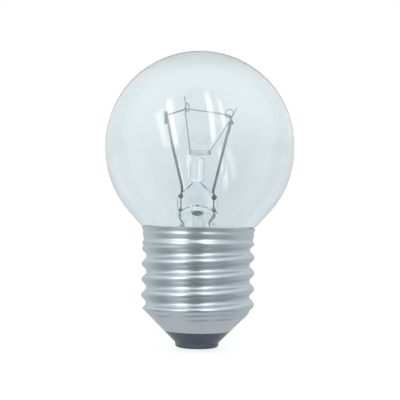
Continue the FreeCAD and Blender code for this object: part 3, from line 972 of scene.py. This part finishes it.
def support_body(wires, side, centre, turn, tail, lay):
    """A thin wire from the button with a loop for the filament, laid to one side, and a short tail."""
    start = on_plan(side) * (BUTTON_R - SUPPORT_INSET) + UP * (BUTTON_Z - SUPPORT_SINK)
    along = (centre - start).normalized()
    level = along.cross(UP).normalized()
    over = level.cross(along)
    across = level * -math.cos(math.radians(turn)) + over * math.sin(math.radians(turn))
    touch = centre - across * LOOP_R
    along = (touch - start).normalized()
    across = (across - along * across.dot(along)).normalized()
    shift = along.cross(across) * (LOOP_SHIFT * lay)
    ahead = along * LOOP_R
    round_over = across * (2 * LOOP_R)
    corners = [touch + ahead, touch + ahead + round_over, touch - ahead + round_over, touch - ahead]
    points = [start] + [corner + shift * (step / 3) for step, corner in enumerate(corners)]
    points.append(touch + shift + along * (LOOP_R + tail))
    path = rounded(points, [LOOP_R * LOOP_FIT] * 4, SUPPORT_STEP)
    return swept(path, mm(wires.support_d) / 2, SUPPORT_SIDES)


def filament_path(wires):
    """The middle line of the coil, from the left hook through both loops to the right hook."""
    grips = []
    for top, fold_angle, turn in ((LEFT_HOOK, LEFT_FOLD, 90), (RIGHT_HOOK, RIGHT_FOLD, -90)):
        middle = top + on_plan(fold_angle) * hook_radius(wires)
        out = on_plan(fold_angle + turn)
        grips.append([middle - out * GRIP_IN, middle + out * GRIP_OUT])
    inner = [LEFT_LOOP - UP * LEFT_REST, FILAMENT_SAG, RIGHT_LOOP - UP * RIGHT_REST]
    points = grips[0] + inner + grips[1][::-1]
    return rounded(points, [GRIP_BEND] + [FILAMENT_BEND] * 3 + [GRIP_BEND], FILAMENT_STEP)


def coil_body(wires):
    """The coiled wire along the filament's middle line."""
    path = filament_path(wires)
    radius = mm(wires.coil_d - wires.coil_wire_d) / 2
    pitch = mm(wires.coil_pitch)
    coil = []
    gone = 0.0
    for index, (side, over) in enumerate(frames_along(path)):
        if index:
            gone += (path[index] - path[index - 1]).length
        turn = 2 * math.pi * gone / pitch
        coil.append(path[index] + (side * math.cos(turn) + over * math.sin(turn)) * radius)
    return swept(coil, mm(wires.coil_wire_d) / 2, COIL_SIDES)


def thread_height(cap, angle, z):
    """Height of the rolled thread over its mean radius, between round arcs and a softer wave."""
    pitch = mm(cap.pitch)
    half = mm(cap.thread_depth) / 2
    bend = ((pitch / 4) ** 2 + half ** 2) / (2 * half)
    from_crest = z - CAP_EDGE_Z - THREAD_START - pitch * angle / 360
    from_crest = abs((from_crest + pitch / 2) % pitch - pitch / 2)
    from_end = min(from_crest, pitch / 2 - from_crest)
    arc = half - bend + math.sqrt(bend ** 2 - from_end ** 2)
    if from_crest > pitch / 4:
        arc = -arc
    wave = half * math.cos(2 * math.pi * from_crest / pitch)
    return arc + (wave - arc) * THREAD_EASE


def collar_radius(z):
    """Radius of the collar, with two low rolled beads and a lip that flares out at the rim."""
    bead = BEAD * math.cos(2 * math.pi * (z - BEAD_Z) / BEAD_SPACING)
    bead *= 1 + LOWER_BEAD * ease(BEAD_Z - LOWER_BEAD_DROP - z)
    lift = max(z - LIP_Z, 0.0) / (RIM_TOP_Z - LIP_Z)
    return COLLAR_R + bead + RIM_FLARE * lift ** RIM_CURVE


def run_out(cap, angle, z):
    """Low ridge that the end of the thread leaves on the front of the cone, and the groove above it."""
    turn = (angle + 180) % 360 - 180
    crest = RUN_OUT_Z + mm(cap.pitch) * (turn + 90) / 720
    fade = turn_fade(turn, *RUN_OUT_SPAN)
    ridge = RUN_OUT * fade * math.exp(-((z - crest) / RUN_OUT_HALF) ** 2)
    low = CAP_EDGE_Z + THREAD_START + mm(cap.pitch) * (1 + turn / 360) - GROOVE_DROP
    front = turn_fade(turn, *GROOVE_SPAN)
    return ridge - GROOVE * front * math.exp(-((z - low) / GROOVE_HALF) ** 2)


def cap_radius(cap, angle, z):
    """Outside radius of the cap: cone, thread, collar and flared rim."""
    mean = mm(cap.crest_d - cap.thread_depth) / 2
    thread = mean + thread_height(cap, angle, z)
    fade = ease((z - COLLAR_Z + THREAD_FADE) / THREAD_FADE)
    body = thread + (collar_radius(z) - thread) * fade
    cone = CAP_EDGE_R + z - CAP_EDGE_Z + run_out(cap, angle, z)
    share = min(max(0.5 + 0.5 * (cone - body) / CONE_BLEND, 0.0), 1.0)
    return cone + (body - cone) * share - CONE_BLEND * share * (1 - share)


def cap_point(cap, angle, z, depth):
    """A point of the cap's sheet at a depth below its outside."""
    step = 0.02
    slope = (cap_radius(cap, angle, z + step) - cap_radius(cap, angle, z - step)) / (2 * step)
    size = math.hypot(1.0, slope)
    radius = cap_radius(cap, angle, z)
    tilt = RIM_TILT * math.cos(math.radians(angle)) * ease((z - COLLAR_Z) / (RIM_TOP_Z - COLLAR_Z))
    return on_plan(angle) * (radius - depth / size) + UP * (z - tilt + depth * slope / size)


def cap_body(cap, segments, rows):
    """The cap's sheet: its outside from the lower edge to the rim and its inside back down."""
    rings = []
    for depth, order in ((0.0, range(rows + 1)), (mm(cap.sheet), range(rows, -1, -1))):
        for row in order:
            z = CAP_EDGE_Z + (RIM_TOP_Z - CAP_EDGE_Z) * row / rows
            ring = [cap_point(cap, 360 * index / segments, z, depth) for index in range(segments)]
            rings.append(ring)
    return skin(rings, True)


def insulator_outline():
    """The black glass end's section: nub, cone and the part inside the cap."""
    corner = arc_points((NUB_R - NUB_CORNER, NUB_FACE_Z + NUB_CORNER), NUB_CORNER, -90, 0, 10)
    edge = (CAP_EDGE_R - EDGE_INSET[0], CAP_EDGE_Z + EDGE_INSET[1])
    waist = arc_points((NUB_R + WAIST_R, CONE_START_Z - WAIST_DROP), WAIST_R, 180, 135, 5)
    outline = corner + waist + [(CAP_EDGE_R - CLEARANCE, CAP_EDGE_Z - CLEARANCE), edge]
    outline += [(edge[0] + BLACK_DEPTH, edge[1] + BLACK_DEPTH), (NUB_R, BLACK_FLOOR_Z)]
    seat_z = NUB_FACE_Z + PLATE_T + CLEARANCE
    seat_r = PLATE_R + CLEARANCE
    outline += [(LEAD_HOLE_R, BLACK_FLOOR_Z), (LEAD_HOLE_R, seat_z), (seat_r, seat_z)]
    return outline + [(seat_r, NUB_FACE_Z)]


def plate_outline():
    """The contact plate's section, with a small rolled edge."""
    edge = arc_points((PLATE_R - PLATE_EDGE, NUB_FACE_Z + PLATE_EDGE), PLATE_EDGE, -90, 0, 5)
    top = NUB_FACE_Z + PLATE_T
    return [(PLATE_HOLE_R, NUB_FACE_Z)] + edge + [(PLATE_R, top), (PLATE_HOLE_R, top)]


def solder_outline():
    """The centre contact's section: a flat dome and the plug in the plate's hole."""
    sphere = (SOLDER_R ** 2 + NUB_FACE_Z ** 2) / (2 * NUB_FACE_Z)
    reach = math.degrees(math.asin(SOLDER_R / sphere))
    dome = arc_points((0, sphere), sphere, -90, reach - 90, 12)
    dome[0] = (0, 0)
    top = NUB_FACE_Z + PLATE_T
    return dome + [(PLATE_HOLE_R, NUB_FACE_Z), (PLATE_HOLE_R, top), (0, top)]


# One operator for each piece or group of pieces

class LAMP_OT_glass_globe(bpy.types.Operator):
    """Blows the clear globe with its shoulder and neck"""
    bl_idname = "lamp.glass_globe"
    bl_label = "Glass globe"

    def execute(self, context):
        sizes = context.scene.lamp_glass
        globe_r = mm(sizes.globe_d) / 2
        outline = globe_outline(globe_r, 0.0) + globe_outline(globe_r, mm(sizes.wall))[::-1]
        glass = clear_glass("clear_glass", context.scene.lamp_colours.glass, GLOBE_RIPPLE)
        piece("globe", turned(outline, GLOBE_SEGMENTS), glass, ["glass_bulb"])
        return {"FINISHED"}


class LAMP_OT_stem(bpy.types.Operator):
    """Makes the stem's glass: the pinched tube, the exhaust tube and the rod with its button"""
    bl_idname = "lamp.stem"
    bl_label = "Stem glass"

    def execute(self, context):
        sizes = context.scene.lamp_glass
        glass = clear_glass("stem_glass", context.scene.lamp_colours.stem, STEM_RIPPLE)
        arbor_r = mm(sizes.arbor_d) / 2
        lip_r = NECK_R - mm(sizes.wall)
        body = stem_body(mm(sizes.press_width) / 2, lip_r, STEM_SEGMENTS)
        stem = piece("stem", body, glass, ["stem_flare"], sharp=60)
        carve(stem, blow_hole_body(), sharp=50)
        piece("exhaust", exhaust_body(TUBE_SEGMENTS), glass, ["exhaust_tube"])
        piece("rod", arbor_body(arbor_r, TUBE_SEGMENTS), glass, ["arbor_rod"], sharp=60)
        return {"FINISHED"}


class LAMP_OT_inner_leads(bpy.types.Operator):
    """Bends the two stout leads with their hooks"""
    bl_idname = "lamp.inner_leads"
    bl_label = "Inner leads"

    def execute(self, context):
        wires = context.scene.lamp_wires
        tint = context.scene.lamp_colours.lead
        # Painted shade: the inner leads are darker lower down and lighter up towards their hooks, where the
        # lamps light them
        wire = metal("lead_wire", tint, darker(tint, LEAD_SHADE_SHARE))
        shade_downwards(wire, LEAD_SHADE_LOW_Z * MM, LEAD_LIT_Z * MM)
        left_foot = Vector((LEFT_LEAD_X, 0, LEFT_SEAL_Z))
        right_foot = Vector((RIGHT_LEAD_X, 0, RIGHT_SEAL_Z))
        left_bend = Vector((LEFT_LEAD_X, 0, LEFT_BEND_Z))
        right_bend = Vector((RIGHT_LEAD_X, 0, RIGHT_BEND_Z))
        slope = (RIGHT_HOOK - right_bend).normalized()
        left = lead_body(wires, left_foot, [left_bend, LEFT_WAIST], LEFT_HOOK, LEFT_FOLD, UP)
        right = lead_body(wires, right_foot, [right_bend], RIGHT_HOOK, RIGHT_FOLD, slope)
        piece("lead_left", left, wire, ["inner_lead_left"])
        piece("lead_right", right, wire, ["inner_lead_right"])
        return {"FINISHED"}


class LAMP_OT_outer_wires(bpy.types.Operator):
    """Draws the seal wires and the outer leads to the centre contact and the rim"""
    bl_idname = "lamp.outer_wires"
    bl_label = "Seal wires and outer leads"

    def execute(self, context):
        radius = mm(context.scene.lamp_wires.outer_d) / 2
        tint = context.scene.lamp_colours.copper
        wire = metal("copper_wire", tint, darker(tint, COPPER_DULL))
        for x, top, name in ((LEFT_LEAD_X, LEFT_SEAL_Z, "left"), (RIGHT_LEAD_X, RIGHT_SEAL_Z, "right")):
            ends = [Vector((x, 0, top)), Vector((x, 0, SEAL_END_Z))]
            knot = (ends[1] + UP * KNOT_LIFT, *SEAL_KNOT)
            body = swept(rounded(ends, [], LEAD_STEP), radius, OUTER_SIDES, [knot])
            piece("seal_" + name, body, wire, ["seal_wire_" + name])
        routes = [("contact_lead", outer_route(LEFT_LEAD_X, LEFT_OUTER_X, CONTACT_ROUTE)),
                  ("rim_lead", outer_route(RIGHT_LEAD_X, RIGHT_OUTER_X, RIM_ROUTE))]
        for name, route in routes:
            bends = [OUTER_END_BEND] + [OUTER_LEAD_BEND] * (len(route) - 4) + [OUTER_END_BEND]
            body = swept(rounded(route, bends, OUTER_STEP), radius, OUTER_SIDES)
            piece(name.replace("lead", "wire"), body, wire, [name])
        return {"FINISHED"}


class LAMP_OT_supports(bpy.types.Operator):
    """Bends the two thin supports with their loops"""
    bl_idname = "lamp.supports"
    bl_label = "Filament supports"

    def execute(self, context):
        wires = context.scene.lamp_wires
        tint = context.scene.lamp_colours.support
        wire = metal("support_wire", tint, darker(tint, GREY_DULL))
        for name, *bends in SUPPORTS:
            piece("loop_" + name, support_body(wires, *bends), wire, ["support_" + name])
        return {"FINISHED"}


class LAMP_OT_filament(bpy.types.Operator):
    """Winds the filament's coil"""
    bl_idname = "lamp.filament"
    bl_label = "Filament"

    def execute(self, context):
        tint = context.scene.lamp_colours.coil
        wire = metal("filament_wire", tint, darker(tint, GREY_DULL))
        piece("coil", coil_body(context.scene.lamp_wires), wire, ["filament"])
        return {"FINISHED"}


class LAMP_OT_screw_cap(bpy.types.Operator):
    """Rolls the screw cap with its cone, thread, collar and rim"""
    bl_idname = "lamp.screw_cap"
    bl_label = "Screw cap"

    def execute(self, context):
        colours = context.scene.lamp_colours
        sheet = metal("cap_metal", colours.metal, colours.dull)
        body = cap_body(context.scene.lamp_cap, CAP_SEGMENTS, CAP_ROWS)
        piece("cap", body, sheet, ["screw_shell"], sharp=50)
        return {"FINISHED"}


class LAMP_OT_cap_end(bpy.types.Operator):
    """Makes the black glass end with its contact plate and solder dome"""
    bl_idname = "lamp.cap_end"
    bl_label = "Cap end and centre contact"

    def execute(self, context):
        colours = context.scene.lamp_colours
        black = black_glass("black_glass", colours.black)
        plate = metal("contact_brass", colours.brass, darker(colours.brass, BRASS_DULL))
        bead = metal("solder", colours.solder, darker(colours.solder, GREY_DULL))
        end = turned(insulator_outline(), BLACK_SEGMENTS)
        piece("black_end", end, black, ["insulator"])
        disc = turned(plate_outline(), PLATE_SEGMENTS)
        piece("plate", disc, plate, ["contact_plate"])
        drop = turned(solder_outline(), TUBE_SEGMENTS)
        piece("dome", drop, bead, ["contact_solder"])
        return {"FINISHED"}


class LAMP_OT_rim_joint(bpy.types.Operator):
    """Finishes the cement between neck and collar and the solder bead at the rim"""
    bl_idname = "lamp.rim_joint"
    bl_label = "Cement and rim solder"

    def execute(self, context):
        cement = baked_cement("cement", context.scene.lamp_colours.cement)
        for node, material in (("cement_ring", cement), ("rim_solder", bpy.data.materials["solder"])):
            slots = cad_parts[node].data.materials
            slots.clear()
            slots.append(material)
        return {"FINISHED"}


# Stage

def rgb(value):
    """A colour, also from a single grey value."""
    return value if isinstance(value, tuple) else (value, value, value)


def cool(value):
    """A grey with a little blue in it."""
    return (value * 0.9, value * 0.97, value)


def ramp(tree, source, stops):
    """A smooth ramp over a socket, with greys or colours at its stops."""
    node = add(tree, "ValToRGB")
    node.color_ramp.interpolation = "EASE"
    marks = node.color_ramp.elements
    while len(marks) < len(stops):
        marks.new(0.5)
    for mark, (place, value) in zip(marks, stops):
        mark.position = place
        mark.color = (*rgb(value), 1)
    tree.links.new(source, node.inputs["Fac"])
    return node.outputs["Color"]


def turn_ramp(tree, axes, sectors):
    """A ramp about the upright axis, over turns in degrees from the front to the right."""
    toward = math_node(tree, "MULTIPLY", axes["Y"], -1.0)
    around = math_node(tree, "ARCTAN2", axes["X"], toward)
    around = math_node(tree, "ADD", math_node(tree, "DIVIDE", around, 2 * math.pi), 0.5)
    return ramp(tree, around, [((turn + 180) / 360, value) for turn, value in sectors])


def strip_lamp(name, low, high, width, radiance):
    """A narrow light between two points, turned to the globe, with soft edges, that the camera can't see."""
    middle = (low + high) / 2
    length = (high - low).length
    data = bpy.data.lights.new(name, "AREA")
    data.shape = "RECTANGLE"
    data.size = width
    data.size_y = length
    data.energy = radiance * math.pi * width * length
    data.use_nodes = True
    tree = data.node_tree
    axes = add(tree, "SeparateXYZ")
    tree.links.new(add(tree, "NewGeometry").outputs["Parametric"], axes.inputs[0])
    side = ramp(tree, axes.outputs["X"], [(0.0, 0.0), (0.25, 1.0), (0.75, 1.0), (1.0, 0.0)])
    end = ramp(tree, axes.outputs["Y"], [(0.0, 0.3), (0.15, 1.0), (0.7, 1.0), (1.0, 0.0)])
    glow = math_node(tree, "MULTIPLY", side, end)
    tree.links.new(glow, tree.nodes["Emission"].inputs["Strength"])
    upward = (high - low).normalized()
    back = (middle - LAMP_AIM).normalized()
    back = (back - upward * back.dot(upward)).normalized()
    turn = Matrix((upward.cross(back), upward, back)).transposed()
    lamp = placed(name, data)
    lamp.matrix_world = Matrix.Translation(middle) @ turn.to_4x4()
    lamp.visible_camera = False


def gloss_colour(tree, axes):
    """What gloss sees: walls all round, a pale ceiling and a dim patch high up behind the lamp."""
    walls = []
    for turn, value in WALLS:
        walls.append((turn, cool(value) if abs(turn) >= COOL_TURN else value))
    high = ramp(tree, axes["Z"], [(0.0, 0.85), (0.3, 0.95), (0.6, 1.0)])
    gloss = blend_colours(tree, "MULTIPLY", 1.0, turn_ramp(tree, axes, walls), high)
    top = ramp(tree, axes["Z"], [(0.4, 0.0), (0.8, 1.0)])
    gloss = blend_colours(tree, "MIX", top, gloss, (*cool(1.0), 1))
    behind = ramp(tree, axes["Y"], [(0.05, 0.0), (0.4, 1.0)])
    lifted = ramp(tree, axes["Z"], [(0.08, 0.0), (0.35, 1.0)])
    middle = ramp(tree, math_node(tree, "ABSOLUTE", axes["X"]), [(0.15, 1.0), (0.5, 0.0)])
    dim = math_node(tree, "MULTIPLY", math_node(tree, "MULTIPLY", behind, lifted), middle)
    return blend_colours(tree, "MIX", dim, gloss, DIM_PATCH)


def through_colour(tree, axes):
    """What shows through the glass: white, with a dimmer ring that its edges bend to and a low shade."""
    depth = math_node(tree, "ABSOLUTE", axes["Y"])
    ring = [(0.18, 0.95), (0.36, (0.55, 0.59, 0.62)), (0.55, (0.62, 0.66, 0.69)), (0.85, 1.0)]
    low = ramp(tree, axes["Z"], [(0.05, 1.0), (0.1, 0.75), (0.17, 0.0)])
    aside = math_node(tree, "ADD", math_node(tree, "MULTIPLY", axes["X"], 2.0), 0.5)
    right = ramp(tree, aside, [(0.3, 0.3), (0.5, 1.0), (0.56, 1.0), (0.72, 0.7)])
    shade = math_node(tree, "MULTIPLY", low, right)
    return blend_colours(tree, "MULTIPLY", shade, ramp(tree, depth, ring), LOW_SHADE)


def studio_world():
    """White for the camera, and round the lamp what gloss and glass see of a small studio."""
    world = bpy.data.worlds.new("studio")
    bpy.context.scene.world = world
    world.use_nodes = True
    tree = world.node_tree
    axes = axes_of(tree, "Generated")
    path = add(tree, "LightPath").outputs
    shown = blend_colours(tree, "MIX", path["Is Glossy Ray"], ROOM_LIGHT, gloss_colour(tree, axes))
    shown = blend_colours(tree, "MIX", path["Is Transmission Ray"], shown, through_colour(tree, axes))
    shown = blend_colours(tree, "MIX", path["Is Camera Ray"], shown, WHITE)
    tree.links.new(shown, tree.nodes["Background"].inputs["Color"])


def floor_material(tint):
    """A matt floor, pale to the camera and the glass, with the lamp's shadow on it and clear from below; to
    glossy rays it glows in sectors round the lamp and evenly near it, a painted reflection in the metal.
    """
    material, tree, shader = finish("floor", tint)
    shader.inputs["Roughness"].default_value = 0.9
    # Painted reflection: a glow that only glossy rays see, in sectors far from the lamp and even near it
    far = turn_ramp(tree, axes_of(tree, "Object"), FLOOR_SECTORS)
    away = add(tree, "VectorMath", operation="LENGTH")
    tree.links.new(add(tree, "TexCoord").outputs["Object"], away.inputs[0])
    reach = ramp(tree, away.outputs["Value"], [(FLOOR_REACH[0], 0.0), (FLOOR_REACH[1], 1.0)])
    path = add(tree, "LightPath").outputs
    painted_reflection = blend_colours(tree, "MIX", reach, FLOOR_NEAR_REFLECTION, far)
    painted_reflection = math_node(tree, "MULTIPLY", painted_reflection, path["Is Glossy Ray"])
    camera = math_node(tree, "MULTIPLY", path["Is Camera Ray"], FLOOR_CAMERA)
    glass = math_node(tree, "MULTIPLY", path["Is Transmission Ray"], FLOOR_GLASS)
    glow = math_node(tree, "MAXIMUM", math_node(tree, "MAXIMUM", camera, glass), painted_reflection)
    light = add(tree, "Emission", Color=WHITE)
    tree.links.new(glow, light.inputs["Strength"])
    both = add(tree, "AddShader")
    tree.links.new(shader.outputs["BSDF"], both.inputs[0])
    tree.links.new(light.outputs["Emission"], both.inputs[1])
    under = add(tree, "NewGeometry").outputs["Backfacing"]
    clear = add(tree, "BsdfTransparent")
    mix_to_surface(tree, under, both.outputs["Shader"], clear.outputs["BSDF"])
    return material


class LAMP_OT_stage(bpy.types.Operator):
    """Sets the floor, the studio light and the camera"""
    bl_idname = "lamp.stage"
    bl_label = "Stage"

    def execute(self, context):
        scene = context.scene
        mesh = bpy.data.meshes.new("floor")
        points, faces = skin([[Vector((0, 0, 0))], turned_ring(FLOOR_R, 0, FLOOR_SEGMENTS)], False)
        mesh.from_pydata(points, [], [face[::-1] for face in faces])
        mesh.materials.append(floor_material(scene.lamp_colours.floor))
        floor = placed("floor", mesh)
        studio_world()
        for name, low, high, width, radiance in STRIP_LAMPS:
            strip_lamp(name, Vector(low), Vector(high), width, radiance)
        data = bpy.data.cameras.new("camera")
        data.lens = LENS
        data.clip_start = CLIP_START
        camera = placed("camera", data)
        eye = EYE * MM
        look = (AIM * MM - eye).to_track_quat("-Z", "Y").to_matrix()
        roll = Matrix.Rotation(math.radians(ROLL), 3, "Z")
        camera.matrix_world = Matrix.Translation(eye) @ (look @ roll).to_4x4()
        scene.camera = camera
        scene.view_settings.view_transform = "Standard"
        scene.cycles.max_bounces = BOUNCES
        scene.cycles.transmission_bounces = BOUNCES
        return {"FINISHED"}


class LAMP_PT_panel(bpy.types.Panel):
    """Lists the lamp's pieces and their sizes and colours"""
    bl_idname = "LAMP_PT_panel"
    bl_label = "Globe lamp"
    bl_space_type = "VIEW_3D"
    bl_region_type = "UI"
    bl_category = "Lamp"

    def draw(self, context):
        layout = self.layout
        for kind in STEPS:
            layout.operator(kind.bl_idname)
        for name, kind in STORES:
            box = layout.box()
            for label in kind.__annotations__:
                box.prop(getattr(context.scene, name), label)


STORES = (("lamp_glass", GlassSizes), ("lamp_cap", CapSizes), ("lamp_wires", WireSizes),
          ("lamp_colours", LampColours))
STEPS = (LAMP_OT_glass_globe, LAMP_OT_stem, LAMP_OT_inner_leads, LAMP_OT_outer_wires, LAMP_OT_supports,
         LAMP_OT_filament, LAMP_OT_screw_cap, LAMP_OT_cap_end, LAMP_OT_rim_joint, LAMP_OT_stage)


def register():
    """Adds the lamp's settings, steps and panel."""
    for name, kind in STORES:
        bpy.utils.register_class(kind)
        setattr(bpy.types.Scene, name, PointerProperty(type=kind))
    for kind in STEPS + (LAMP_PT_panel,):
        bpy.utils.register_class(kind)


def unregister():
    """Takes away the panel, the steps and the settings."""
    for kind in (LAMP_PT_panel,) + STEPS[::-1]:
        bpy.utils.unregister_class(kind)
    for name, kind in STORES[::-1]:
        delattr(bpy.types.Scene, name)
        bpy.utils.unregister_class(kind)


def main():
    """Builds the lamp on its stage."""
    register()
    for kind in STEPS:
        area, name = kind.bl_idname.split(".")
        getattr(getattr(bpy.ops, area), name)()


if __name__ == "__main__":
    main()
